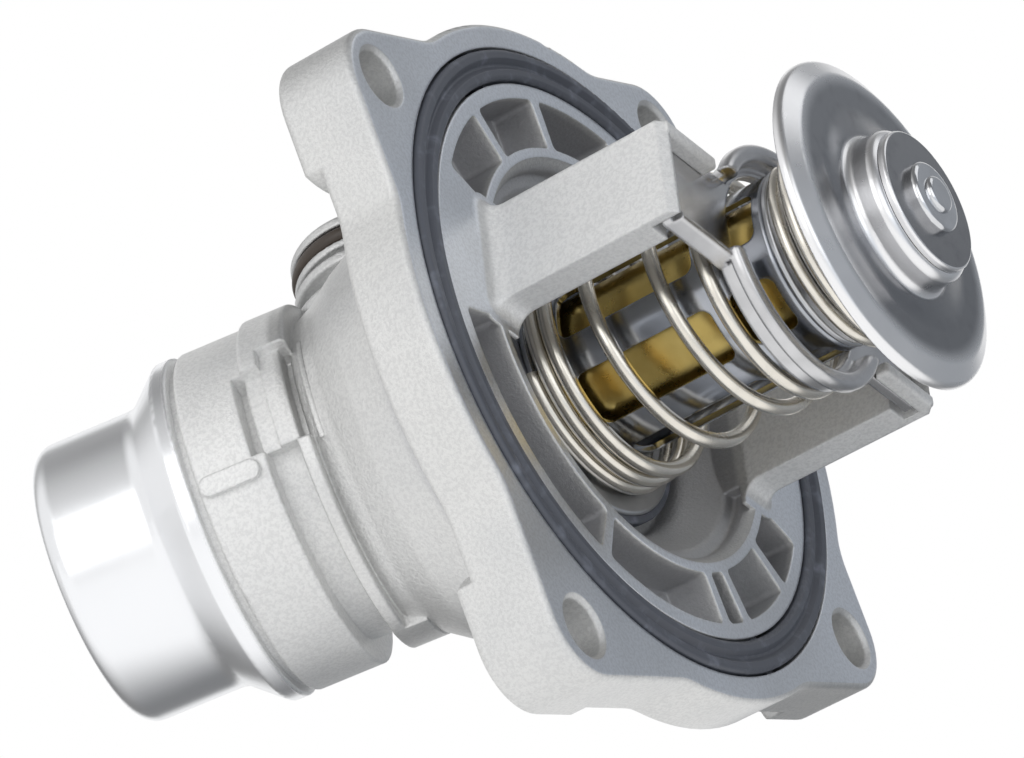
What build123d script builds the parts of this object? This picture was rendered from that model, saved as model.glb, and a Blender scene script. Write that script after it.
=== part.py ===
from build123d import *
import math
import os

# Engine coolant thermostat: a cast housing with a wax-driven main valve and a sprung bypass disc.
# Millimetres. +X runs along the valve axis towards the engine and +Z is up. The origin is
# where the valve axis meets the machined joint face.

# Clearances
seat_gap = 0.3
slide_gap = 0.05
snug_gap = 0.03

# Flange
bolt_inset_y = 11.4
bolt_inset_z = 9.6
bolt_centre_y = -1.5
bolt_centre_z = -0.9
bolt_hole_r = 3.5
bolt_mouth = 0.5
flange_edge = 6.3
flange_corner_r = 7.5
flange_round_r = 43.2
flange_blend_r = 9.0
flange_thick = 8.3
flange_edge_round = 0.8
flange_pad_r = 10.5
flange_pad_thick = 10.4

# Seal and its groove
groove_inner_r = 35.3
groove_outer_r = 40.0
groove_depth = 3.6
seal_side_gap = 0.35
seal_height = 4.1
seal_rib_round = 0.6
seal_valley = 0.8
seal_valley_half = 0.75
nub_reach = 0.32
nub_length = 1.6
nub_height = 2.6
nub_angles = (78.0, 102.0, 168.0, 192.0, 258.0, 282.0, 348.0, 12.0)

# Weight-saving pockets between the seal land and the throat
pocket_inner_r = 27.0
pocket_outer_r = 33.4
pocket_depth = 5.6
pocket_corner_r = 0.7
pocket_rib = 1.5
pocket_rib_angles = (33.0, 60.0, 88.0, 115.0, 229.0, 270.5, 279.5, 302.0)
arm_pad_half_angle = 17.5

# Throat, bowl and valve seat
throat_r = 24.6
throat_step_depth = 2.4
throat_step = 1.5
throat_bevel = 1.2
bowl_foot_r = 19.2
bowl_foot_depth = 7.0
seat_depth = 9.2
seat_r = 16.3
seat_web = 3.6

# Arms that hold the spring retainer
arm_angle = 155.5
arm_outer = 26.1
arm_thick = 4.0
arm_width = 13.0
arm_length = 25.0
arm_bevel = 1.2
arm_root_r = 2.6
hook_top = 25.0
hook_thick = 1.9
hook_width = 1.7
hook_nose = 0.5
notch_width = 2.1
notch_wall = 1.1
notch_mouth = 2.6

# Outlet: its axis leans towards -Y from the valve axis
outlet_lean = 18.0
outlet_start = 10.0
outlet_length = 59.9
outlet_r = 17.5
outlet_wall = 2.4
outlet_end_round = 2.4
outlet_flare_start = 13.3
outlet_lip_r = 21.3
outlet_lip_start = 17.7
outlet_lip_end = 19.6
lip_groove_r = 19.9
lip_groove_width = 0.9

# Connector collar behind the lip, measured from the outlet's open end
collar_r = 21.2
collar_end = 34.9
clip_groove_start = 29.3
clip_groove_width = 3.9
clip_floor_r = 18.2
clip_wall_r = 20.9
clip_low_angle = 4.0
clip_high_angle = 34.0
clip_pocket_start = 27.7
clip_pocket_width = 1.2
clip_ledge_width = 2.3
clip_ledge_r = 19.9
clip_block_width = 2.5
clip_block_r = 20.7
clip_block_extra = 7.0
clip_gap_width = 2.0
clip_fin_width = 0.6
clip_fin_r = 20.2
key_rib_width = 2.4
key_rib_rise = 0.8
key_rib_start = 20.9
key_rib_end = 28.3
saddle_start = 28.9
saddle_rise = 0.7
saddle_face = 19.4
saddle_turn = 15.2
foot_lug_width = 11.0
foot_lug_length = 2.6

# Dome between the collar and the flange, measured along the outlet axis from its start
neck_r = 19.3
neck_place = 25.3
shoulder_r = 20.7
shoulder_place = 22.3
dome_mid_r = 23.2
dome_mid_place = 18.8
dome_side_r = 27.4
dome_side_place = 11.0
dome_r = 29.0
dome_foot = 4.0
dome_wall = 3.6

# Side port on the dome
port_place = 17.6
port_direction = (-0.12, 0.36, 0.925)
port_length = 30.3
port_tube_r = 7.9
port_lip_r = 9.2
port_lip_width = 1.4
port_groove_r = 7.3
port_groove_width = 2.3
port_ring_r = 9.3
port_ring_width = 1.0
port_second_ring_r = 9.8
port_second_ring_width = 1.4
port_ring_space = 1.0
port_base_r = 11.0
port_base_top = 21.8
port_clear_r = 10.8
port_bore_r = 5.8
port_seal_squeeze = 0.1

# Piston support cast across the passage
piston_r = 2.0
bar_front = 15.2
bar_thick = 4.6
bar_width = 4.4
bar_boss_r = 4.8
bar_boss_length = 6.6
socket_depth = 3.0
piston_reach = 6.0

# Main valve
valve_plate_r = 17.0
valve_plate_thick = 1.4
valve_seal_r = 17.9
valve_seal_inner_r = 13.4
valve_seal_thick = 1.35
plate_bore_r = 4.6

# Windowed guide sleeve
sleeve_r = 11.0
sleeve_wall = 0.8
sleeve_foot_r = 12.9
sleeve_end = 27.0
sleeve_windows = 6
window_angle = 36.0
window_phase = 30.0
window_corner_r = 1.3
window_row_starts = (-1.9, 19.4)
window_row_ends = (16.9, 25.6)

# Wax element
element_r = 9.1
element_wall = 0.9
element_end = 26.7
guide_flange_thick = 2.0
guide_tube_r = 4.2
guide_tube_length = 4.6
wiper_thick = 0.6
boot_r = 3.6
boot_end_wall = 1.6
boot_gap = 0.3

# Main spring
spring_wire = 1.9
spring_foot_r = 14.2
spring_top_r = 13.5
spring_turns = 5.6
spring_start_angle = 182.0
spring_closed_turns = 1.8
spring_open_turns = 4.0
spring_blend_turns = 1.1

# Spring retainer
retainer_top = 25.4
retainer_sheet = 1.2
retainer_r = 15.4
retainer_bore_r = 12.2
retainer_skirt_end = 23.8
retainer_bend_r = 0.9
retainer_step_r = 13.2
tab_hook_side = 6.4
tab_free_side = 6.3
tab_rim_top = 24.4
tab_rim_thick = 1.1
tab_end_gap = 0.4

# Bypass stem, disc and spring
stem_shoulder_r = 3.2
stem_shoulder_end = 32.0
stem_r = 2.3
stem_end = 44.1
spring_seat_r = 11.2
spring_seat_thick = 0.8
disc_r = 20.4
disc_face = 37.6
disc_thick = 1.2
disc_rim_width = 2.4
disc_rim_drop = 1.3
disc_boss_r = 9.5
disc_boss_top = 41.4
disc_boss_corner = 1.2
disc_boss_mouth_r = 5.4
hub_r = 8.7
hub_top = 42.3
hub_corner = 0.4
bush_flange_r = 7.8
stem_washer_r = 4.4
stem_washer_top = 43.5
bypass_wire = 1.7
bypass_small_r = 10.8
bypass_large_r = 15.6
bypass_turns = 2.5
bypass_start_angle = 120.0

# Values worked out from the sizes above
bolt_half_y = flange_round_r - bolt_inset_y
bolt_half_z = flange_round_r - bolt_inset_z
plate_foot = -seat_depth + seat_gap + valve_seal_thick
plate_top = plate_foot + valve_plate_thick
spring_foot = plate_top + spring_wire / 2 + snug_gap
notch_top = hook_top - hook_thick
notch_bottom = notch_top - notch_width
tab_top = notch_top - slide_gap
tab_under = tab_top - retainer_sheet
spring_top = tab_under - spring_wire / 2 - snug_gap
arm_inner = arm_outer - arm_thick
hook_reach = retainer_r + tab_end_gap
seat_bottom = -seat_depth - seat_web
element_foot = plate_top + snug_gap
boot_bottom = element_foot + guide_flange_thick + snug_gap
boot_top = piston_reach + boot_gap + boot_end_wall
seat_washer_top = sleeve_end + spring_seat_thick
disc_back = disc_face - disc_thick
bypass_foot = seat_washer_top + bypass_wire / 2 + snug_gap
bypass_top = disc_back - bypass_wire / 2 - snug_gap

# Frames: the local z axis of each runs along a real axis of the part
valve_axis = Plane(origin=(0, 0, 0), x_dir=(0, 1, 0), z_dir=(1, 0, 0)).location
lean = math.radians(outlet_lean)
outlet_direction = (-math.cos(lean), -math.sin(lean), 0)
outlet_side = (math.sin(lean), -math.cos(lean), 0)
outlet_axis = Plane(origin=(-outlet_start, 0, 0), x_dir=outlet_side, z_dir=outlet_direction).location
port_root = tuple(a + port_place * b for a, b in zip((-outlet_start, 0, 0), outlet_direction))
port_axis = Plane(origin=port_root, x_dir=(1, 0, 0.13), z_dir=port_direction).location


def turned(*profile):
    """Solid of revolution about local z from (radius, height) or (radius, height, corner radius)."""
    points = [(p[0], 0, p[1]) for p in profile]
    radii = [p[2] if len(p) > 2 else 0 for p in profile]
    return revolve(make_face(FilletPolyline(*points, radius=radii, close=True)), Axis.Z)


def ring(inner, outer, low, high, corner=0.0):
    """Plain ring about local z."""
    return turned((inner, low, corner), (outer, low, corner), (outer, high, corner), (inner, high, corner))


def polar(radius, angle):
    """Point at a radius and an angle in degrees."""
    return (radius * math.cos(math.radians(angle)), radius * math.sin(math.radians(angle)))


def ring_sector(inner, outer, start, end, corner):
    """Flat sector of a ring, with rounded corners."""
    far = CenterArc((0, 0), outer, start, end - start)
    near = CenterArc((0, 0), inner, end, start - end)
    face = make_face([far, Line(far @ 1, near @ 0), near, Line(near @ 1, far @ 0)])
    return fillet(face.vertices(), corner) if corner else face


def block(low, high):
    """Box between two opposite corners."""
    size = [b - a for a, b in zip(low, high)]
    middle = [(a + b) / 2 for a, b in zip(low, high)]
    return Pos(*middle) * Box(*size)


def wedge(inner, outer, start, end, low, high, corner=0.0):
    """Sector of a ring as a solid, about local z."""
    return Pos(0, 0, low) * extrude(ring_sector(inner, outer, start, end, corner), high - low)


def smooth(value):
    """Smooth step from 0 to 1."""
    value = min(max(value, 0.0), 1.0)
    return value * value * (3 - 2 * value)


def coil(wire, low, high, low_r, high_r, turns, start_angle, closed_low, closed_high, blend):
    """Round-wire coil about local z with closed turns at the ends that are given."""
    steps_per_turn = 10
    count = math.ceil(turns * steps_per_turn)

    def share(turn):
        rise = smooth((turn - closed_low) / blend) if closed_low else 1.0
        fall = 1 - smooth((turn - closed_high) / blend) if closed_high else 1.0
        return rise * fall

    step = turns / count
    shares = [share((i + 0.5) * step) for i in range(count)]
    closed_pitch = min(wire * 1.01, (high - low) / turns)
    open_extra = (high - low - closed_pitch * turns) / (sum(shares) * step)
    height = low
    points = []
    for i in range(count + 1):
        radius = low_r + (high_r - low_r) * i / count
        points.append((*polar(radius, start_angle + 360 * i * step), height))
        if i < count:
            height += (closed_pitch + open_extra * shares[i]) * step
    path = Spline(*points)
    return sweep(Plane(origin=path @ 0, z_dir=path % 0) * Circle(wire / 2), path=path)


def flange_outline():
    """Round middle joined to four bolt corners by smooth blends."""
    width = 2 * (bolt_half_y + flange_edge)
    height = 2 * (bolt_half_z + flange_edge)
    outline = Circle(flange_round_r)
    outline += Pos(bolt_centre_y, bolt_centre_z) * RectangleRounded(width, height, flange_corner_r)
    meets = [v for v in outline.vertices()
             if abs(math.hypot(v.X, v.Y) - flange_round_r) < 0.01 and min(abs(v.X), abs(v.Y)) > 1]
    return fillet(meets, flange_blend_r)


def bolt_places():
    """Centres of the four bolt holes in the flange's own plane."""
    return [(bolt_centre_y + y, bolt_centre_z + z)
            for y in (-bolt_half_y, bolt_half_y) for z in (-bolt_half_z, bolt_half_z)]


def pocket_sectors():
    """Angles between neighbouring ribs, leaving the solid pads under the arms."""
    half_rib = math.degrees(pocket_rib / 2 / ((pocket_inner_r + pocket_outer_r) / 2))
    pads = [arm_angle, arm_angle + 180]
    walls = [(a - half_rib, a + half_rib) for a in pocket_rib_angles]
    walls += [(p - arm_pad_half_angle, p + arm_pad_half_angle) for p in pads]
    walls.sort()
    following = walls[1:] + [(walls[0][0] + 360, walls[0][1] + 360)]
    return [(this[1], after[0]) for this, after in zip(walls, following)]


def arm(angle):
    """Arm whose open notch takes a tab of the retainer under a one-sided hook."""
    half = arm_width / 2
    body = block((arm_inner, -half, -flange_thick / 2), (arm_outer, half, arm_length))
    tip = [e for e in body.edges().filter_by(Axis.Y) if e.center().Z > arm_length - 0.1
           and e.center().X > arm_outer - 0.1]
    body = chamfer(tip, arm_bevel)
    body -= block((arm_inner - 1, -half - 1, notch_bottom), (arm_outer - notch_wall, half + 1, arm_length + 1))
    body -= block((arm_inner - 1, -half - 1, notch_bottom), (arm_outer + 1, -half + notch_mouth, notch_top))
    root = arm_outer - notch_wall + 0.3
    hook = block((hook_reach, -half, notch_top), (root, -half + hook_width, hook_top))
    free = [e for e in hook.edges() if e.center().X < root - 0.1]
    rounded = [e for e in free if e.center().X < hook_reach + 0.1 or e.center().Z > hook_top - 0.1]
    hook = fillet(rounded, hook_nose)
    reach = arm_root_r
    flare = turned((0, -0.5), (reach, -0.5), (reach, 0), (0, 0, reach * 0.98), (0, reach))
    foot = block((arm_outer - 0.5, -half, -0.5), (arm_outer + reach, half, reach))
    foot -= Pos(arm_outer + reach, 0, reach) * Rot(90, 0, 0) * Cylinder(reach, arm_width + 1)
    for side in (-1, 1):
        edge = block((arm_inner, -0.5, -0.5), (arm_outer, reach, reach))
        edge -= Pos((arm_inner + arm_outer) / 2, reach, reach) * Rot(0, 90, 0) * Cylinder(reach, arm_thick + 1)
        foot += Pos(0, side * half, 0) * (edge if side > 0 else mirror(edge, Plane.XZ))
        foot += Pos(arm_outer, side * half, 0) * flare
    return Rot(0, 0, angle) * (body + hook + foot)


def collar():
    """Connector collar with its clip groove, side pockets, key rib, saddle and foot lug."""
    end = outlet_length
    low = end - collar_end
    high = end - outlet_lip_end - lip_groove_width
    groove_high = end - clip_groove_start
    groove_low = groove_high - clip_groove_width
    body = turned((0, low), (clip_wall_r, low, 0.3), (clip_wall_r, groove_low, 0.3), (clip_floor_r, groove_low),
                  (clip_floor_r, groove_high), (collar_r, groove_high, 0.3), (collar_r, high, 0.6), (0, high))
    pocket_high = end - clip_pocket_start
    ledge_high = pocket_high - clip_pocket_width
    block_high = ledge_high - clip_ledge_width
    block_low = block_high - clip_block_width
    gap_low = block_low - clip_gap_width
    saddle = wedge(clip_floor_r - 1, collar_r + saddle_rise, clip_high_angle, 180 - clip_high_angle, low,
                   end - saddle_start)
    saddle = fillet(saddle.edges().filter_by(GeomType.CIRCLE).sort_by(SortBy.RADIUS)[-2:], saddle_rise * 0.8)
    for turn in (-saddle_turn, 180 + saddle_turn):
        saddle -= Rot(0, 0, turn) * block((saddle_face, -collar_r, low - 1), (collar_r + 5, collar_r, pocket_high))
    body += saddle
    for start in (clip_low_angle, 180 - clip_high_angle):
        stop = start + clip_high_angle - clip_low_angle
        body -= wedge(clip_floor_r, collar_r + 5, start, stop, groove_low, pocket_high)
        body += wedge(clip_floor_r - 1, clip_ledge_r, start, stop, block_high - 0.1, ledge_high)
        far = start - clip_block_extra if start > 90 else start
        near = stop if start > 90 else stop + clip_block_extra
        body -= wedge(clip_floor_r, collar_r + 5, far, near, gap_low, block_high)
        body += wedge(clip_floor_r - 1, clip_block_r, far, near, block_low, block_high)
        body += wedge(clip_floor_r - 1, clip_fin_r, far - 2, near + 2, gap_low - clip_fin_width, gap_low)
    rib_middle = collar_r + key_rib_rise / 2
    for side in (-1, 1):
        rib = block((-1, -key_rib_width / 2, end - key_rib_end), (1, key_rib_width / 2, end - key_rib_start))
        rib = fillet(rib.edges().filter_by(Axis.X), key_rib_width * 0.45)
        body += Pos(side * (rib_middle - 0.6), 0, 0) * rib
    lug = block((-foot_lug_width / 2, -collar_r, low - foot_lug_length), (foot_lug_width / 2, -neck_r + 4, groove_low))
    return body + (lug & ring(neck_r - 5, clip_wall_r, low - foot_lug_length, groove_low))


def housing():
    """The one-piece casting."""
    flange = extrude(flange_outline(), -flange_thick)
    flange = fillet(flange.faces().sort_by(Axis.Z)[-1].outer_wire().edges(), flange_edge_round)
    flange = fillet(flange.faces().sort_by(Axis.Z)[0].outer_wire().edges(), flange_edge_round)
    for y, z in bolt_places():
        pad = extrude(flange_outline() & Pos(y, z) * Circle(flange_pad_r), -flange_pad_thick)
        pad = fillet(pad.faces().sort_by(Axis.Z)[0].edges(), flange_edge_round)
        flange += pad & Pos(0, 0, -flange_thick) * Box(200, 200, flange_thick)
    for y, z in bolt_places():
        hole = turned((0, 1), (bolt_hole_r + bolt_mouth + 1, 1), (bolt_hole_r, -bolt_mouth),
                      (bolt_hole_r, -flange_pad_thick - 1), (0, -flange_pad_thick - 1))
        flange -= Pos(y, z) * hole
    flange -= ring(groove_inner_r, groove_outer_r, -groove_depth, 1)
    for start, end in pocket_sectors():
        flange -= wedge(pocket_inner_r, pocket_outer_r, start, end, -pocket_depth, 1, pocket_corner_r)
    casting = valve_axis * flange

    end = outlet_length
    spout = turned((0, 0), (clip_floor_r, 0), (clip_floor_r, end - outlet_lip_end),
                   (outlet_lip_r, end - outlet_lip_end, 0.3), (outlet_lip_r, end - outlet_lip_start, 0.7),
                   (outlet_r, end - outlet_flare_start, 2.5), (outlet_r, end, outlet_end_round), (0, end))
    spout += ring(0, lip_groove_r, end - outlet_lip_end - lip_groove_width - 1, end - outlet_lip_end)
    spout += collar()
    dome = turned((0, -15), (dome_r, -15), (dome_r, dome_foot, 8), (dome_side_r, dome_side_place, 12),
                  (dome_mid_r, dome_mid_place, 6), (shoulder_r, shoulder_place, 3), (neck_r, neck_place),
                  (0, neck_place))
    dome = outlet_axis * dome
    dome -= block((-flange_thick + 1.2, -80, -80), (80, 80, 80))
    dome -= port_axis * ring(0, port_clear_r, port_base_top, port_length + 5, 0)
    casting += outlet_axis * spout
    casting += dome
    casting += port_axis * port_body()

    cavity = turned((0, -10), (dome_r - dome_wall, -10), (dome_r - dome_wall, dome_foot, 6),
                    (dome_side_r - dome_wall, dome_side_place, 8), (dome_mid_r - dome_wall, dome_mid_place, 4),
                    (outlet_r - outlet_wall, neck_place - 2, 3),
                    (outlet_r - outlet_wall, end - outlet_end_round), (outlet_r - outlet_wall + 0.6, end + 1),
                    (0, end + 1))
    cavity = outlet_axis * cavity - block((seat_bottom, -80, -80), (80, 80, 80))
    bar = block((-bar_front - bar_thick, -bar_width / 2, -dome_r + dome_wall / 2),
                (-bar_front, bar_width / 2, dome_r - dome_wall / 2))
    boss_low = -bar_front - bar_boss_length
    boss = turned((0, boss_low), (bar_boss_r - 1, boss_low, 0.8), (bar_boss_r, -bar_front, 0.6), (0, -bar_front))
    socket = ring(0, piston_r + snug_gap, -bar_front - socket_depth, -bar_front + 1)
    support = bar + valve_axis * boss - valve_axis * socket
    casting -= cavity
    casting -= port_axis * Pos(0, 0, outlet_r / 2) * Cylinder(
        port_bore_r, port_length, align=(Align.CENTER, Align.CENTER, Align.MIN))
    casting += support & (outlet_axis * turned((0, -10), (dome_r - 1, -10), (dome_r - 1, dome_foot),
                                               (dome_side_r - 1, dome_side_place), (0, neck_place)))

    bowl = turned((0, 1), (throat_r + throat_bevel, 1), (throat_r + throat_bevel, -0.1),
                  (throat_r, -0.1 - throat_bevel, 0.8), (throat_r, -throat_step_depth, 0.3),
                  (throat_r - throat_step, -throat_step_depth - 0.3, 0.8), (bowl_foot_r, -bowl_foot_depth, 3.0),
                  (bowl_foot_r, -seat_depth, 0.5), (seat_r + 0.5, -seat_depth), (seat_r, -seat_depth - 0.5),
                  (seat_r, seat_bottom - 0.01), (0, seat_bottom - 0.01))
    casting -= valve_axis * bowl
    for angle in (arm_angle, arm_angle + 180):
        casting += valve_axis * arm(angle)
    return casting


def port_body():
    """Side port with its lip, seal groove and rings, from the outlet axis outwards."""
    top = port_length
    lip_low = top - port_lip_width
    groove_low = lip_low - port_groove_width
    ring_low = groove_low - port_ring_width
    second_high = ring_low - port_ring_space
    second_low = second_high - port_second_ring_width
    return turned((0, 0), (port_base_r, 0), (port_base_r, port_base_top - 1.5, 1), (port_tube_r, port_base_top, 0.6),
                  (port_tube_r, second_low), (port_second_ring_r, second_low, 0.3),
                  (port_second_ring_r, second_high, 0.3), (port_tube_r, second_high), (port_tube_r, ring_low),
                  (port_ring_r, ring_low, 0.3), (port_ring_r, groove_low, 0.2), (port_groove_r, groove_low),
                  (port_groove_r, lip_low), (port_lip_r, lip_low, 0.2), (port_lip_r, top, 0.6), (0, top))


def port_seal():
    """Round-section seal seated in the side port's groove."""
    section = (port_groove_width - 2 * port_seal_squeeze) / 2
    middle = port_length - port_lip_width - port_groove_width / 2
    seal = Pos(0, 0, middle) * Torus(port_groove_r + section + snug_gap, section)
    return port_axis * seal


def flange_seal():
    """Twin-rib rubber seal with holding nubs on both sides."""
    low = -groove_depth
    high = low + seal_height
    inner = groove_inner_r + seal_side_gap
    outer = groove_outer_r - seal_side_gap
    middle = (inner + outer) / 2
    seal = turned((inner, low, 0.3), (outer, low, 0.3), (outer, high, seal_rib_round),
                  (middle + seal_valley_half, high, 0.2), (middle, high - seal_valley, 0.3),
                  (middle - seal_valley_half, high, 0.2), (inner, high, seal_rib_round))
    for angle in nub_angles:
        for face, reach in ((outer, nub_reach), (inner, -nub_reach)):
            near, far = sorted((face - math.copysign(0.5, reach), face + reach))
            nub = block((near, -nub_length / 2, low), (far, nub_length / 2, low + nub_height))
            seal += Rot(0, 0, angle) * nub
    return valve_axis * seal


def spring_retainer():
    """Pressed ring with a raised bead, flattened at two tabs that lock under the arms' hooks."""
    bore = retainer_bore_r
    wall_r = retainer_step_r + retainer_sheet
    bead = turned((bore, tab_under), (wall_r, tab_under), (wall_r, retainer_skirt_end),
                  (retainer_r, retainer_skirt_end), (retainer_r, retainer_top, retainer_bend_r),
                  (retainer_step_r, retainer_top, retainer_bend_r), (retainer_step_r, tab_top, 0.4),
                  (bore, tab_top, 0.3))
    reach = arm_outer - notch_wall - tab_end_gap
    for angle in (arm_angle, arm_angle + 180):
        tab = block((0, -tab_hook_side, tab_under), (reach, tab_free_side, tab_top)) - Cylinder(bore, 100)
        tab = fillet(tab.edges().filter_by(Axis.Z).sort_by(lambda e: e.center().X)[-2:], 1.0)
        inner_side = tab_free_side - tab_rim_thick
        rim = block((retainer_step_r + 0.6, inner_side, tab_under), (reach - 0.8, tab_free_side, tab_rim_top))
        rim = fillet(rim.edges().filter_by(Axis.X).sort_by(Axis.Z)[-2:], 0.4)
        room = block((0, -tab_hook_side, tab_top), (reach, inner_side, retainer_top + 1))
        bead -= Rot(0, 0, angle) * room
        bead += Rot(0, 0, angle) * tab
        bead += Rot(0, 0, angle) * rim
    return valve_axis * bead


def main_spring():
    """Main return spring between the valve plate and the retainer."""
    wire = coil(spring_wire, spring_foot, spring_top, spring_foot_r, spring_top_r, spring_turns,
                spring_start_angle, spring_closed_turns, spring_open_turns, spring_blend_turns)
    return valve_axis * wire


def main_valve_plate():
    """Pressed main valve plate."""
    low, high = plate_foot, plate_top
    plate = turned((plate_bore_r, low), (valve_plate_r, low, 0.2), (valve_plate_r, high, 0.5),
                   (plate_bore_r, high))
    return valve_axis * plate


def main_valve_seal():
    """Rubber ring bonded under the plate's edge and round its rim."""
    low = plate_foot - valve_seal_thick
    under = plate_foot - snug_gap
    rim = valve_plate_r + snug_gap
    seal = turned((valve_seal_inner_r, low, 0.5), (valve_seal_r - 0.8, low, 0.5), (valve_seal_r, low + 0.9, 0.4),
                  (valve_seal_r, plate_top - 0.4, 0.3), (rim, plate_top - 0.4), (rim, under),
                  (valve_seal_inner_r, under, 0.3))
    return valve_axis * seal


def guide_sleeve():
    """Drawn sleeve with two rows of round-ended windows, a turned-out foot and a turned-in top."""
    inner = sleeve_r - sleeve_wall
    low = plate_top
    sleeve = turned((inner, low), (sleeve_foot_r, low, 0.2), (sleeve_foot_r, low + sleeve_wall, 0.3),
                    (sleeve_r, low + sleeve_wall, 0.5), (sleeve_r, sleeve_end, 0.5),
                    (element_r + snug_gap, sleeve_end), (element_r + snug_gap, sleeve_end - sleeve_wall),
                    (inner, sleeve_end - sleeve_wall))
    width = 2 * sleeve_r * math.sin(math.radians(window_angle / 2))
    for start, end in zip(window_row_starts, window_row_ends):
        for i in range(sleeve_windows):
            cutter = block((sleeve_r - 3, -width / 2, start), (sleeve_r + 1, width / 2, end))
            cutter = fillet(cutter.edges().filter_by(Axis.X), window_corner_r)
            sleeve -= Rot(0, 0, window_phase + i * 360 / sleeve_windows) * cutter
    return valve_axis * sleeve


def element_body():
    """Brass cup that holds the wax."""
    inner = element_r - element_wall
    cup = turned((inner, element_foot), (element_r, element_foot, 0.2), (element_r, element_end, 1.0),
                 (0, element_end), (0, element_end - element_wall), (inner, element_end - element_wall, 0.5))
    return valve_axis * cup


def element_guide():
    """Piston guide closed into the cup's mouth, with its tube through the valve plate."""
    bore = piston_r + slide_gap
    flange_r = element_r - element_wall - snug_gap
    top = element_foot + guide_flange_thick
    low = element_foot - guide_tube_length
    guide = turned((bore, low), (guide_tube_r, low, 0.4), (guide_tube_r, element_foot), (flange_r, element_foot),
                   (flange_r, top, 0.2), (bore, top))
    return valve_axis * guide


def piston_wiper():
    """Wiper ring at the guide's mouth."""
    top = element_foot - guide_tube_length
    return valve_axis * ring(piston_r + slide_gap, guide_tube_r - 0.4, top - wiper_thick, top, 0.15)


def rubber_boot():
    """Closed rubber sleeve between the piston and the wax."""
    bore = piston_r + boot_gap
    flange_r = element_r - element_wall - 2 * snug_gap
    return valve_axis * turned((bore, boot_bottom), (flange_r, boot_bottom, 0.3), (flange_r, boot_bottom + 1.0, 0.3),
                               (boot_r, boot_bottom + 1.0), (boot_r, boot_top, 1.2), (0, boot_top),
                               (0, boot_top - boot_end_wall), (bore, boot_top - boot_end_wall))


def wax_charge():
    """Wax that fills the cup round the boot."""
    outer = element_r - element_wall - snug_gap
    low = boot_bottom + 1.0 + snug_gap
    boot = boot_r + snug_gap
    return valve_axis * turned((boot, low), (outer, low), (outer, element_end - element_wall - snug_gap, 0.5),
                               (0, element_end - element_wall - snug_gap), (0, boot_top + snug_gap),
                               (boot, boot_top + snug_gap, 1.2))


def piston():
    """Polished piston pin, seated in the casting's support."""
    low = -bar_front - socket_depth + snug_gap
    return valve_axis * turned((0, low), (piston_r, low, 0.3), (piston_r, piston_reach, 0.9), (0, piston_reach))


def bypass_spring_seat():
    """Washer at the sleeve's end that the bypass spring stands on."""
    return valve_axis * ring(stem_shoulder_r + snug_gap, spring_seat_r, sleeve_end, seat_washer_top, 0.25)


def bypass_stem():
    """Stem that stands on the wax cup and carries the disc."""
    low = element_end
    return valve_axis * turned((0, low), (stem_shoulder_r, low), (stem_shoulder_r, stem_shoulder_end, 0.3),
                               (stem_r, stem_shoulder_end), (stem_r, stem_end, 0.6), (0, stem_end))


def bypass_disc():
    """Pressed bypass disc with a turned-back rim and a drawn boss."""
    rim = disc_r - disc_rim_width
    sheet = disc_thick
    boss_in = disc_boss_r - sheet
    return valve_axis * turned(
        (boss_in, disc_back, 0.8), (rim, disc_back, 1.0), (disc_r, disc_back - disc_rim_drop, 0.2),
        (disc_r, disc_face - disc_rim_drop, 0.9), (rim, disc_face, 1.6), (disc_boss_r, disc_face, 1.0),
        (disc_boss_r, disc_boss_top, disc_boss_corner), (disc_boss_mouth_r, disc_boss_top),
        (disc_boss_mouth_r, disc_boss_top - sheet), (boss_in, disc_boss_top - sheet, 0.3))


def disc_hub():
    """Cap pressed on the disc's boss."""
    low = disc_boss_top
    return valve_axis * turned((stem_r + slide_gap, low), (hub_r, low), (hub_r, hub_top, hub_corner),
                               (stem_r + slide_gap, hub_top))


def guide_bush():
    """Flanged bush inside the boss that runs on the stem."""
    bore = stem_r + slide_gap
    shelf = disc_boss_top - disc_thick
    return valve_axis * turned((bore, disc_back), (bush_flange_r * 0.6, disc_back, 0.3),
                               (bush_flange_r * 0.6, shelf - 1.2), (bush_flange_r, shelf - 1.2, 0.2),
                               (bush_flange_r, shelf), (disc_boss_mouth_r - snug_gap, shelf),
                               (disc_boss_mouth_r - snug_gap, disc_boss_top), (bore, disc_boss_top))


def stem_washer():
    """Rounded washer that the stem's end is peened over."""
    return valve_axis * turned((stem_r, hub_top), (stem_washer_r, hub_top), (stem_washer_r, stem_washer_top, 0.7),
                               (stem_r, stem_washer_top))


def bypass_spring():
    """Conical bypass spring between its seat and the disc."""
    wire = coil(bypass_wire, bypass_foot, bypass_top, bypass_small_r, bypass_large_r, bypass_turns,
                bypass_start_angle, 0, 0, 1.0)
    return valve_axis * wire


pieces = {
    "housing": housing,
    "flange_seal": flange_seal,
    "port_seal": port_seal,
    "spring_retainer": spring_retainer,
    "piston": piston,
    "main_spring": main_spring,
    "main_valve_plate": main_valve_plate,
    "main_valve_seal": main_valve_seal,
    "guide_sleeve": guide_sleeve,
    "element_body": element_body,
    "element_guide": element_guide,
    "piston_wiper": piston_wiper,
    "rubber_boot": rubber_boot,
    "wax_charge": wax_charge,
    "bypass_stem": bypass_stem,
    "stem_washer": stem_washer,
    "bypass_spring_seat": bypass_spring_seat,
    "bypass_spring": bypass_spring,
    "bypass_disc": bypass_disc,
    "disc_hub": disc_hub,
    "guide_bush": guide_bush,
}

os.makedirs("parts", exist_ok=True)
for name, make in pieces.items():
    export_step(make(), f"parts/{name}.step")
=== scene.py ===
import math

import bmesh
import bpy
from mathutils import Matrix, Vector


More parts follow.
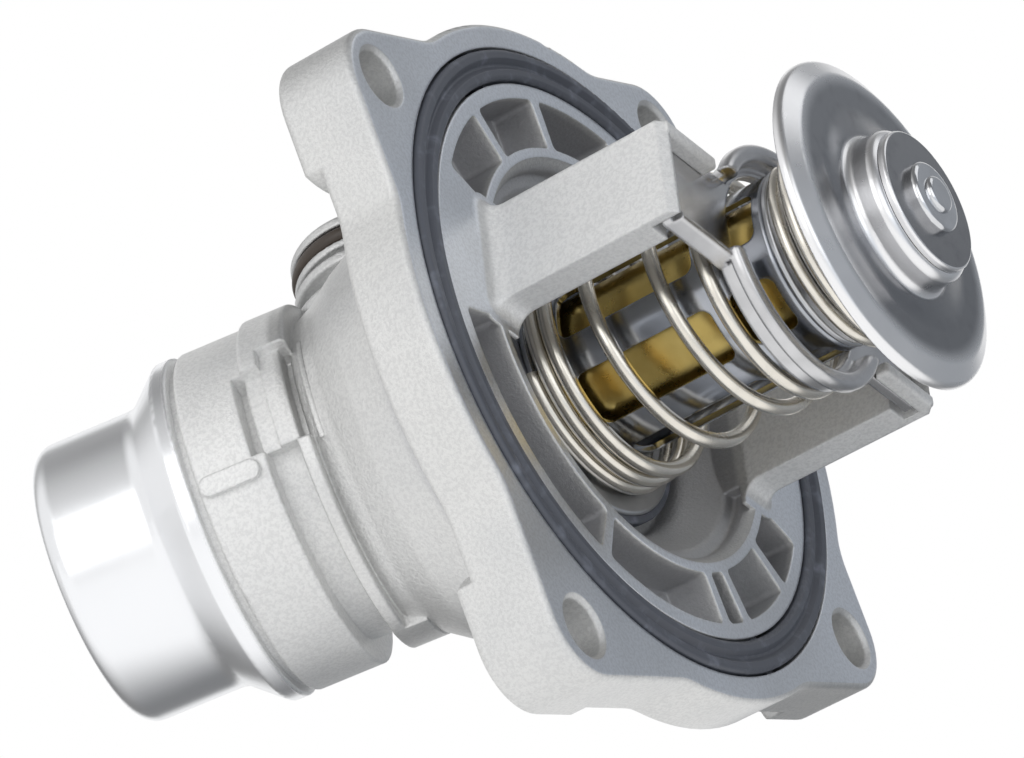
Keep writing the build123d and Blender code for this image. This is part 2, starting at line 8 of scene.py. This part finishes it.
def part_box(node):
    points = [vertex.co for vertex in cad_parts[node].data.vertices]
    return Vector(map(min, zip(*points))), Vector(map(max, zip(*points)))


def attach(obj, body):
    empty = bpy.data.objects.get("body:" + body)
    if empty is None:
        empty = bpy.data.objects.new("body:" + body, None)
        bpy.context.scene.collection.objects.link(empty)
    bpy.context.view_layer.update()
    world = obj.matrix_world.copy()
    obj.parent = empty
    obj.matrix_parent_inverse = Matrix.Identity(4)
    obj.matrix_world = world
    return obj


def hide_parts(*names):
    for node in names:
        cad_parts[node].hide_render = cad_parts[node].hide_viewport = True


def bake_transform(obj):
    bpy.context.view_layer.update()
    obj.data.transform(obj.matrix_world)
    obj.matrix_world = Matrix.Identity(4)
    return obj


# Engine coolant thermostat: looks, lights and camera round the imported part. Metres, row frame.

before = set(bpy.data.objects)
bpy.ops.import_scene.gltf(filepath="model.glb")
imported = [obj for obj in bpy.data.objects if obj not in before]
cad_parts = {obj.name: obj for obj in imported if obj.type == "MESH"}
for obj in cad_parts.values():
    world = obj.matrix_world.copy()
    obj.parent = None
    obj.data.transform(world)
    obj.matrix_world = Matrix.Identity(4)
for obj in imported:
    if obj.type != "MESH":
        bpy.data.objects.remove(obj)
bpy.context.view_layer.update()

# Camera: its place, its axes in the row frame, and the point that the lamps aim at
right = Vector((0.794568, 0.506059, -0.335509)).normalized()
forward = Vector((-0.438462, 0.860473, 0.259494)).normalized()
up = right.cross(forward).normalized()
eye = Vector((0.291989, -0.602077, -0.177332))
lens_mm = 210.94
film_mm = 36.0
middle = Vector((-0.012, -0.004, 0.0))

# Outlet's axis, which leans towards -Y
outlet_lean = math.radians(18)
outlet_start = Vector((-0.010, 0, 0))
outlet_axis = Vector((-math.cos(outlet_lean), -math.sin(outlet_lean), 0))
outlet_length = 0.0599

# Where each finish of the casting, and the painted shade in its pockets and bowl, starts and where it is
# full, along X, the outlet or the radius
joint_face_from = (-0.00035, -0.0001)
joint_face_until = (0.0006, 0.0003)
arms_from = (0.0004, 0.0010)
pockets_from = (-0.0003, -0.0012)
bowl_until = (-0.0165, -0.0150)
bowl_radius = (0.0349, 0.0342)
dome_from = (-0.0100, -0.0120)
spigot_from = (outlet_length - 0.0199, outlet_length - 0.0190)
collar_from = (outlet_length - 0.0335, outlet_length - 0.0325)

# The same for the disc: its flat face within the rim, the drawn boss, the curve at its foot, and the rise
# over which painted shade darkens its lower side
disc_flat_radius = (0.0186, 0.0160)
disc_boss_from = (0.0378, 0.0395)
disc_flare_radius = (0.0142, 0.0096)
disc_flare_height = 0.0008
disc_shade_rise = (0.028, 0.0)

# Springs, drawn as round wire
coil_spans_per_turn = 10
coil_steps_per_turn = 72
closed_pitch_share = 1.01
wire_sides = 20
wire_end_bevel = 0.00018

# Outer wall of an arm's notch: size, place before it turns about the valve's axis, and edge
notch_wall_size = (0.0028, 0.00112, 0.0033)
notch_wall_place = (0.02205, 0.02556, -0.00486)
notch_wall_edge = 0.00004
left_arm_turn = 155.5

# Floor
floor_reach = 0.45
floor_gap = 0.0001
floor_shows_from = (-0.005, 0.010)


class Nodes:
    """Small helper that adds and joins shader nodes."""

    def __init__(self, tree):
        self.tree = tree
        self.tree.nodes.clear()

    def add(self, kind, **values):
        node = self.tree.nodes.new("ShaderNode" + kind)
        for key, value in values.items():
            if hasattr(node, key) and key not in ("inputs", "outputs"):
                setattr(node, key, value)
            else:
                self.set(node.inputs[key.replace("_", " ")], value)
        return node

    def set(self, socket, value):
        if isinstance(value, bpy.types.NodeSocket):
            self.tree.links.new(value, socket)
        else:
            socket.default_value = value

    def math(self, operation, a, b=0.0):
        node = self.add("Math", operation=operation)
        self.set(node.inputs[0], a)
        self.set(node.inputs[1], b)
        return node.outputs[0]

    def plus(self, a, b):
        return self.math("ADD", a, b)

    def times(self, a, b):
        return self.math("MULTIPLY", a, b)

    def dot(self, a, b):
        node = self.add("VectorMath", operation="DOT_PRODUCT")
        self.set(node.inputs[0], a)
        self.set(node.inputs[1], b)
        return node.outputs["Value"]

    def step(self, value, start, end):
        """Smooth step, 0 at the start and 1 at the end, which may lie either way round."""
        node = self.add("MapRange", clamp=True, interpolation_type="SMOOTHSTEP")
        self.set(node.inputs["Value"], value)
        self.set(node.inputs["From Min"], start)
        self.set(node.inputs["From Max"], end)
        return node.outputs["Result"]

    def mix(self, share, a, b):
        node = self.add("Mix", data_type="FLOAT")
        self.set(node.inputs[0], share)
        self.set(node.inputs[2], a)
        self.set(node.inputs[3], b)
        return node.outputs[0]

    def mix_colour(self, share, a, b):
        node = self.add("Mix", data_type="RGBA")
        self.set(node.inputs[0], share)
        self.set(node.inputs[6], a)
        self.set(node.inputs[7], b)
        return node.outputs[2]

    def noise(self, vector, scale, detail, roughness):
        node = self.add("TexNoise")
        self.set(node.inputs["Vector"], vector)
        self.set(node.inputs["Scale"], scale)
        self.set(node.inputs["Detail"], detail)
        self.set(node.inputs["Roughness"], roughness)
        return node.outputs["Fac"]

    def place(self):
        return self.add("TexCoord").outputs["Object"]

    def split(self, vector):
        node = self.add("SeparateXYZ")
        self.set(node.inputs[0], vector)
        return node.outputs["X"], node.outputs["Y"], node.outputs["Z"]

    def radius(self, y, z):
        """Distance from the valve's axis."""
        return self.math("SQRT", self.plus(self.times(y, y), self.times(z, z)))

    def facing(self):
        """How far the surface faces along +X, out of the joint face."""
        return self.dot(self.add("NewGeometry").outputs["Normal"], (1.0, 0.0, 0.0))


def colour(r, g, b):
    return (r, g, b, 1.0)


def scaled(base, factor, lift=0.0):
    """Lighter or darker version of a colour."""
    return colour(*[min(1.0, value * factor + lift) for value in base[:3]])


def material(name):
    made = bpy.data.materials.new(name)
    made.use_nodes = True
    return made, Nodes(made.node_tree)


def shine(nodes, base, metallic, roughness, bump=None, bump_depth=0.0, bump_strength=1.0,
          specular=0.5, edge=0.0):
    """Finish a material with one surface shader; an edge radius shades sharp edges as worn."""
    shader = nodes.add("BsdfPrincipled")
    nodes.set(shader.inputs["Base Color"], base)
    nodes.set(shader.inputs["Metallic"], metallic)
    nodes.set(shader.inputs["Roughness"], roughness)
    nodes.set(shader.inputs["Specular IOR Level"], specular)
    if bump is not None:
        node = nodes.add("Bump")
        nodes.set(node.inputs["Height"], bump)
        nodes.set(node.inputs["Distance"], bump_depth)
        nodes.set(node.inputs["Strength"], bump_strength)
        if edge:
            worn = nodes.add("Bevel", samples=6, Radius=edge)
            nodes.set(node.inputs["Normal"], worn.outputs["Normal"])
        nodes.set(shader.inputs["Normal"], node.outputs["Normal"])
    out = nodes.add("OutputMaterial")
    nodes.set(out.inputs["Surface"], shader.outputs["BSDF"])


def cast_regions(n, place):
    """Shares of the joint face, arms, pockets and bowl (for painted shade), dome, spigot and collar at a
    place.
    """
    x, y, z = n.split(place)
    facing = n.facing()
    face = n.times(n.step(x, *joint_face_from), n.step(facing, 0.9, 0.97))
    face = n.times(face, n.step(x, *joint_face_until))
    arms = n.step(x, *arms_from)
    inside = n.times(n.step(x, *pockets_from), n.step(x, *bowl_until))
    inside = n.times(inside, n.step(n.radius(y, z), *bowl_radius))
    inside = n.times(inside, n.step(facing, -0.6, -0.3))
    dome = n.step(x, *dome_from)
    shift = n.add("VectorMath", operation="SUBTRACT")
    n.set(shift.inputs[0], place)
    n.set(shift.inputs[1], outlet_start)
    along = n.dot(shift.outputs["Vector"], outlet_axis)
    return face, arms, inside, dome, n.step(along, *spigot_from), n.step(along, *collar_from)


def cast_metal(name, edge):
    """Blasted casting with a machined face, satin collar, polished spigot and painted shade in its pockets
    and bowl.
    """
    blasted = colour(0.75, 0.75, 0.74)
    satin = colour(0.92, 0.92, 0.91)
    machined = colour(0.88, 0.91, 0.96)
    bare = colour(0.93, 0.94, 0.96)
    shaded = colour(0.55, 0.55, 0.56)
    stained = colour(0.62, 0.63, 0.64)
    pitted = colour(0.40, 0.40, 0.41)
    made, n = material(name)
    place = n.place()
    face, arms, inside, dome, spigot, collar = cast_regions(n, place)
    grain = n.noise(place, 2300.0, 4.0, 0.65)
    blotch = n.noise(place, 170.0, 3.0, 0.5)
    cloud = n.noise(place, 45.0, 2.0, 0.5)

    rough = n.mix(collar, n.mix(dome, 0.52, 0.40), 0.46)
    rough = n.mix(face, rough, 0.36)
    rough = n.mix(spigot, rough, 0.23)
    rough = n.plus(rough, n.times(n.math("SUBTRACT", blotch, 0.5), 0.14))

    base = n.mix_colour(n.math("MAXIMUM", arms, collar), blasted, satin)
    base = n.mix_colour(face, base, machined)
    base = n.mix_colour(spigot, base, bare)
    # Painted shade: the pockets and the bowl are darkened.
    base = n.mix_colour(inside, base, shaded)
    dull = n.mix_colour(n.step(cloud, 0.35, 0.75), base, stained)
    base = n.mix_colour(n.mix(spigot, n.mix(arms, 0.5, 0.2), 0.0), base, dull)
    speck = n.times(n.step(grain, 0.58, 0.40), n.mix(spigot, 0.20, 0.0))
    base = n.mix_colour(speck, base, pitted)

    metal = n.mix(arms, n.mix(collar, 0.88, 0.30), 0.28)
    metal = n.mix(spigot, n.mix(face, metal, 0.95), 0.97)
    depth = n.mix(spigot, n.mix(face, 1.0, 0.25), 0.0)
    height = n.times(n.plus(grain, n.times(blotch, 1.2)), depth)
    shine(n, base, metal, rough, height, bump_depth=0.00012, bump_strength=0.8, edge=edge)
    return made


def steel(name, base, roughness, bump_depth=0.00001, edge=0.0):
    """Pressed or drawn steel with faint streaks along X."""
    made, n = material(name)
    place = n.place()
    stretch = n.add("Mapping", vector_type="POINT")
    n.set(stretch.inputs["Vector"], place)
    n.set(stretch.inputs["Scale"], (0.08, 1.0, 1.0))
    lines = n.noise(stretch.outputs["Vector"], 2200.0, 2.0, 0.6)
    patch = n.noise(place, 260.0, 2.0, 0.5)
    rough = n.plus(roughness, n.times(n.math("SUBTRACT", patch, 0.5), 0.12))
    shade = n.mix_colour(n.step(patch, 0.3, 0.8), base, scaled(base, 0.86))
    shine(n, shade, 1.0, rough, lines, bump_depth=bump_depth, bump_strength=0.4, edge=edge)
    return made


def disc_metal():
    """Turned disc: dark face with painted shade towards its lower side, brighter rim and boss wall, fine
    rings round the valve's axis.
    """
    dark_face = colour(0.36, 0.365, 0.38)
    dark_boss_top = colour(0.40, 0.40, 0.41)
    painted_low_shade = colour(0.14, 0.145, 0.16)
    patch_stain = colour(0.20, 0.20, 0.22)
    turned = colour(0.90, 0.90, 0.91)
    made, n = material("disc_steel")
    place = n.place()
    x, y, z = n.split(place)
    radius = n.radius(y, z)
    rings = n.add("CombineXYZ")
    n.set(rings.inputs[0], radius)
    fine = n.noise(rings.outputs[0], 3500.0, 2.0, 0.6)
    patch = n.noise(place, 420.0, 3.0, 0.6)
    flat = n.times(n.step(n.facing(), 0.90, 0.99), n.step(radius, *disc_flat_radius))
    low = n.step(n.dot(place, tuple(up)), *disc_shade_rise)

    # Flat face and boss top are dark grey, the rim and boss wall light grey; patches are darker at random.
    stain_and_shade = n.mix_colour(n.step(x, *disc_boss_from), dark_face, dark_boss_top)
    # Painted shade: the disc is darker towards its lower side.
    stain_and_shade = n.mix_colour(n.mix(low, 0.0, 0.45), stain_and_shade, painted_low_shade)
    stain_and_shade = n.mix_colour(n.mix(n.step(patch, 0.45, 0.8), 0.0, 0.5), stain_and_shade, patch_stain)
    base = n.mix_colour(flat, turned, stain_and_shade)
    rough = n.plus(n.mix(flat, 0.24, 0.18), n.times(patch, 0.10))
    flare = n.times(n.step(radius, *disc_flare_radius), disc_flare_height)
    height = n.plus(n.times(fine, 0.000004), flare)
    shine(n, base, 1.0, rough, height, bump_depth=1.0)
    return made


def brass():
    """Drawn brass, browner in patches."""
    made, n = material("brass")
    patch = n.noise(n.place(), 350.0, 3.0, 0.6)
    base = n.mix_colour(patch, colour(0.72, 0.50, 0.13), colour(0.90, 0.70, 0.26))
    rough = n.plus(0.22, n.times(patch, 0.14))
    shine(n, base, 1.0, rough)
    return made


def rubber(name, base, roughness):
    """Moulded rubber with a trace of dust."""
    made, n = material(name)
    place = n.place()
    fine = n.noise(place, 1800.0, 2.0, 0.5)
    dust = n.noise(place, 300.0, 3.0, 0.6)
    shade = n.mix_colour(n.step(dust, 0.5, 0.85), base, scaled(base, 2.2, 0.02))
    shine(n, shade, 0.0, roughness, fine, bump_depth=0.00002, bump_strength=0.4, specular=0.6)
    return made


def plain(name, base, roughness):
    """Even plastic or wax."""
    made, n = material(name)
    shine(n, base, 0.0, roughness)
    return made


cast = cast_metal("cast_aluminium", edge=0.0005)
cast_flat = cast_metal("cast_aluminium_wall", edge=0.0)
pressed = steel("pressed_steel", colour(0.60, 0.61, 0.63), 0.30)
retainer_steel = steel("retainer_steel", colour(0.66, 0.66, 0.67), 0.24, edge=0.0005)
sleeve_steel = steel("sleeve_steel", colour(0.46, 0.48, 0.52), 0.20, edge=0.0003)
wire_steel = steel("wire_steel", colour(0.86, 0.82, 0.74), 0.26, bump_depth=0.000006)
bright = steel("bright_steel", colour(0.78, 0.79, 0.81), 0.14, bump_depth=0.000004)
disc_steel = disc_metal()
brass_metal = brass()
seal_rubber = rubber("seal_rubber", colour(0.090, 0.098, 0.120), 0.50)
port_rubber = rubber("port_seal_rubber", colour(0.045, 0.030, 0.020), 0.38)
plastic = plain("bush_plastic", colour(0.03, 0.03, 0.032), 0.4)
wax = plain("wax", colour(0.60, 0.42, 0.18), 0.45)

finishes = {
    "housing": cast,
    "flange_seal": seal_rubber,
    "port_seal": port_rubber,
    "spring_retainer": retainer_steel,
    "piston": bright,
    "main_spring": wire_steel,
    "main_valve_plate": pressed,
    "main_valve_seal": seal_rubber,
    "guide_sleeve": sleeve_steel,
    "element_body": brass_metal,
    "element_guide": brass_metal,
    "piston_wiper": plastic,
    "rubber_boot": seal_rubber,
    "wax_charge": wax,
    "bypass_stem": bright,
    "stem_washer": bright,
    "bypass_spring_seat": pressed,
    "bypass_spring": wire_steel,
    "bypass_disc": disc_steel,
    "disc_hub": disc_steel,
    "guide_bush": plastic,
}
for name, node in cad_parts.items():
    node.data.materials.clear()
    node.data.materials.append(finishes[name])


def scene_piece(name, made, finish):
    """Put a finished mesh into the scene as a piece of its own."""
    mesh = bpy.data.meshes.new(name)
    made.to_mesh(mesh)
    made.free()
    mesh.materials.append(finish)
    piece = bpy.data.objects.new(name, mesh)
    bpy.context.scene.collection.objects.link(piece)
    return piece


def smooth(value):
    value = min(max(value, 0.0), 1.0)
    return value * value * (3 - 2 * value)


def coil_heights(wire, low, high, turns, closed_low, closed_high, blend):
    """Heights along a coil that is closed up to one turn, open after it and closed again."""
    spans = math.ceil(turns * coil_spans_per_turn)
    span = turns / spans

    def open_share(turn):
        rise = smooth((turn - closed_low) / blend) if closed_low else 1.0
        fall = 1 - smooth((turn - closed_high) / blend) if closed_high else 1.0
        return rise * fall

    shares = [open_share((i + 0.5) * span) for i in range(spans)]
    closed_pitch = min(wire * closed_pitch_share, (high - low) / turns)
    open_extra = (high - low - closed_pitch * turns) / (sum(shares) * span)
    knots = [low]
    for value in shares:
        knots.append(knots[-1] + (closed_pitch + open_extra * value) * span)

    count = math.ceil(turns * coil_steps_per_turn)
    raw = []
    for i in range(count + 1):
        place = min(turns * i / count / span, spans - 1e-9)
        last = int(place)
        raw.append(knots[last] + (knots[last + 1] - knots[last]) * (place - last))
    between = [(raw[i - 1] + 2 * raw[i] + raw[i + 1]) / 4 for i in range(1, count)]
    return [raw[0]] + between + [raw[count]]


def coil_line(wire, low, high, low_r, high_r, turns, start_angle, closed_low=0, closed_high=0, blend=1.0):
    """Centre line of a coil round the valve's axis, as height, radius and angle."""
    heights = coil_heights(wire, low, high, turns, closed_low, closed_high, blend)
    count = len(heights) - 1
    line = []
    for i, height in enumerate(heights):
        radius = low_r + (high_r - low_r) * i / count
        angle = math.radians(start_angle + 360 * turns * i / count)
        line.append((height, radius, angle))
    return line


def wire_mesh(line, wire):
    """Round wire drawn along a coil's line, with cut and slightly bevelled ends."""
    made = bmesh.new()
    height, radius, angle = line[0]
    ring = bmesh.ops.create_circle(made, cap_ends=True, radius=wire / 2, segments=wire_sides)["verts"]
    bmesh.ops.translate(made, verts=ring, vec=(height, radius, 0))
    bmesh.ops.rotate(made, verts=ring, cent=(0, 0, 0), matrix=Matrix.Rotation(angle, 3, "X"))
    edges = made.edges[:]
    for last, place in zip(line, line[1:]):
        grown = bmesh.ops.extrude_edge_only(made, edges=edges)["geom"]
        ring = [part for part in grown if isinstance(part, bmesh.types.BMVert)]
        edges = [part for part in grown if isinstance(part, bmesh.types.BMEdge)]
        bmesh.ops.rotate(made, verts=ring, cent=(0, 0, 0), matrix=Matrix.Rotation(place[2] - last[2], 3, "X"))
        outward = Vector((0, math.cos(place[2]), math.sin(place[2])))
        drift = outward * (place[1] - last[1]) + Vector((place[0] - last[0], 0, 0))
        bmesh.ops.translate(made, verts=ring, vec=drift)
    bmesh.ops.contextual_create(made, geom=edges)
    bmesh.ops.recalc_face_normals(made, faces=made.faces)
    ends = [edge for edge in made.edges if any(len(face.verts) > 4 for face in edge.link_faces)]
    bmesh.ops.bevel(made, geom=ends, offset=wire_end_bevel, affect="EDGES", segments=2,
                    profile=0.5, material=-1)
    for face in made.faces:
        face.smooth = len(face.verts) == 4
    return made


def coil_piece(node, wire, other, **shape):
    """Finer coil drawn in place of one spring."""
    low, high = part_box(node)
    line = coil_line(wire, low.x + wire / 2, high.x - wire / 2, **shape)
    piece = scene_piece(node + "_wire", wire_mesh(line, wire), wire_steel)
    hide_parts(node)
    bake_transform(piece)


coil_piece("main_spring", 0.0019, "housing", low_r=0.0142, high_r=0.0135, turns=5.6,
           start_angle=182.0, closed_low=1.8, closed_high=4.0, blend=1.1)
coil_piece("bypass_spring", 0.0017, "bypass", low_r=0.0108, high_r=0.0156, turns=2.5,
           start_angle=120.0)


def arm_wall(name, turn):
    """Thin outer wall that closes the notch of one arm."""
    made = bmesh.new()
    bmesh.ops.create_cube(made, size=1.0)
    bmesh.ops.scale(made, verts=made.verts, vec=notch_wall_size)
    bmesh.ops.translate(made, verts=made.verts, vec=notch_wall_place)
    bmesh.ops.bevel(made, geom=made.edges[:], offset=notch_wall_edge, affect="EDGES", segments=1,
                    profile=0.5, material=-1)
    turned = Matrix.Rotation(math.radians(turn), 3, "X")
    bmesh.ops.rotate(made, verts=made.verts, cent=(0, 0, 0), matrix=turned)
    wall = scene_piece(name, made, cast_flat)
    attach(wall, "housing")


arm_wall("left_arm_wall", left_arm_turn)
arm_wall("right_arm_wall", left_arm_turn + 180)


def floor_finish():
    """Clear from above, paper from below, and plain white in mirrors in front of the part."""
    made, n = material("floor")
    paper = n.add("BsdfDiffuse")
    n.set(paper.inputs["Color"], colour(0.97, 0.97, 0.97))
    clear = n.add("BsdfTransparent")
    sided = n.add("MixShader")
    n.set(sided.inputs[0], n.add("NewGeometry").outputs["Backfacing"])
    n.set(sided.inputs[1], paper.outputs[0])
    n.set(sided.inputs[2], clear.outputs[0])
    white = n.add("Emission", Strength=1.0)
    start, full = [middle.dot(-forward) + reach for reach in floor_shows_from]
    ahead = n.step(n.dot(n.place(), tuple(-forward)), start, full)
    shown = n.add("MixShader")
    n.set(shown.inputs[0], n.times(n.add("LightPath").outputs["Is Glossy Ray"], ahead))
    n.set(shown.inputs[1], sided.outputs[0])
    n.set(shown.inputs[2], white.outputs[0])
    n.set(n.add("OutputMaterial").inputs["Surface"], shown.outputs[0])
    return made


def floor_under(node):
    """Floor just under a node as it lies in the picture."""
    lowest = min(vertex.co.dot(up) for vertex in node.data.vertices)
    centre = middle + up * (lowest - middle.dot(up) - floor_gap)
    laid = Matrix.Translation(centre) @ Matrix((right, -forward, up)).transposed().to_4x4()
    made = bmesh.new()
    bmesh.ops.create_grid(made, x_segments=1, y_segments=1, size=floor_reach, matrix=laid)
    return scene_piece("floor", made, floor_finish())


floor_under(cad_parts["housing"])


def softbox(name, where, size, brightness):
    """Square light aimed at the part, placed by camera axes, with its surface brightness given."""
    light = bpy.data.lights.new(name, "AREA")
    light.shape = "RECTANGLE"
    light.size, light.size_y = size
    light.energy = brightness * math.pi * size[0] * size[1]
    lamp = bpy.data.objects.new(name, light)
    place = middle + right * where[0] + up * where[1] - forward * where[2]
    aimed = (place - middle).to_track_quat("Z", "Y").to_matrix().to_4x4()
    lamp.matrix_world = Matrix.Translation(place) @ aimed
    bpy.context.scene.collection.objects.link(lamp)


softbox("key_light", (-0.38, 0.32, 0.52), (0.50, 0.50), 0.85)
softbox("rim_light", (0.30, 0.46, 0.56), (0.55, 0.55), 0.65)
softbox("edge_light", (0.34, 0.55, -0.20), (0.35, 0.35), 0.75)
softbox("low_light", (-0.05, -0.50, 0.55), (0.60, 0.45), 0.40)


def studio():
    """White to the eye; the light itself is brighter at the left and in front, bluer at the right."""
    world = bpy.data.worlds.new("studio")
    world.use_nodes = True
    bpy.context.scene.world = world
    n = Nodes(world.node_tree)
    direction = n.add("TexCoord").outputs["Generated"]
    rise = n.dot(direction, up)
    side = n.step(n.dot(direction, (-right * 0.9 - forward * 0.44)), 0.15, 0.60)
    front = n.times(n.step(n.dot(direction, tuple(-forward)), 0.30, 0.75), 0.95)
    glow = n.mix(n.math("MAXIMUM", side, front), 0.36, 0.88)
    glow = n.times(glow, n.mix(n.step(rise, 0.58, 0.92), 1.0, 0.55))
    glow = n.times(glow, n.mix(n.step(rise, 0.0, -0.6), 1.0, 0.6))
    sideways = n.step(n.dot(direction, right), -0.2, 0.8)
    tone = n.mix_colour(sideways, colour(1.0, 1.0, 1.0), colour(0.88, 0.93, 1.0))
    room = n.add("Background")
    n.set(room.inputs["Color"], tone)
    n.set(room.inputs["Strength"], glow)
    backdrop = n.add("Background")
    n.set(backdrop.inputs["Color"], colour(1.0, 1.0, 1.0))
    n.set(backdrop.inputs["Strength"], 1.0)
    rays = n.add("LightPath").outputs
    behind = n.step(n.dot(direction, tuple(forward)), 0.80, 0.92)
    mirrored = n.times(n.math("MAXIMUM", rays["Is Glossy Ray"], rays["Is Transmission Ray"]), behind)
    seen = n.add("MixShader")
    n.set(seen.inputs[0], n.math("MAXIMUM", rays["Is Camera Ray"], mirrored))
    n.set(seen.inputs[1], room.outputs[0])
    n.set(seen.inputs[2], backdrop.outputs[0])
    n.set(n.add("OutputWorld").inputs["Surface"], seen.outputs[0])


def photo_camera():
    """Camera at the photo's place and turn."""
    data = bpy.data.cameras.new("camera")
    data.lens = lens_mm
    data.sensor_width = film_mm
    data.clip_start, data.clip_end = 0.05, 10.0
    camera = bpy.data.objects.new("camera", data)
    turn = Matrix((right, up, -forward)).transposed().to_4x4()
    camera.matrix_world = Matrix.Translation(eye) @ turn
    bpy.context.scene.collection.objects.link(camera)
    bpy.context.scene.camera = camera


studio()
photo_camera()
bpy.context.scene.view_settings.view_transform = "Standard"
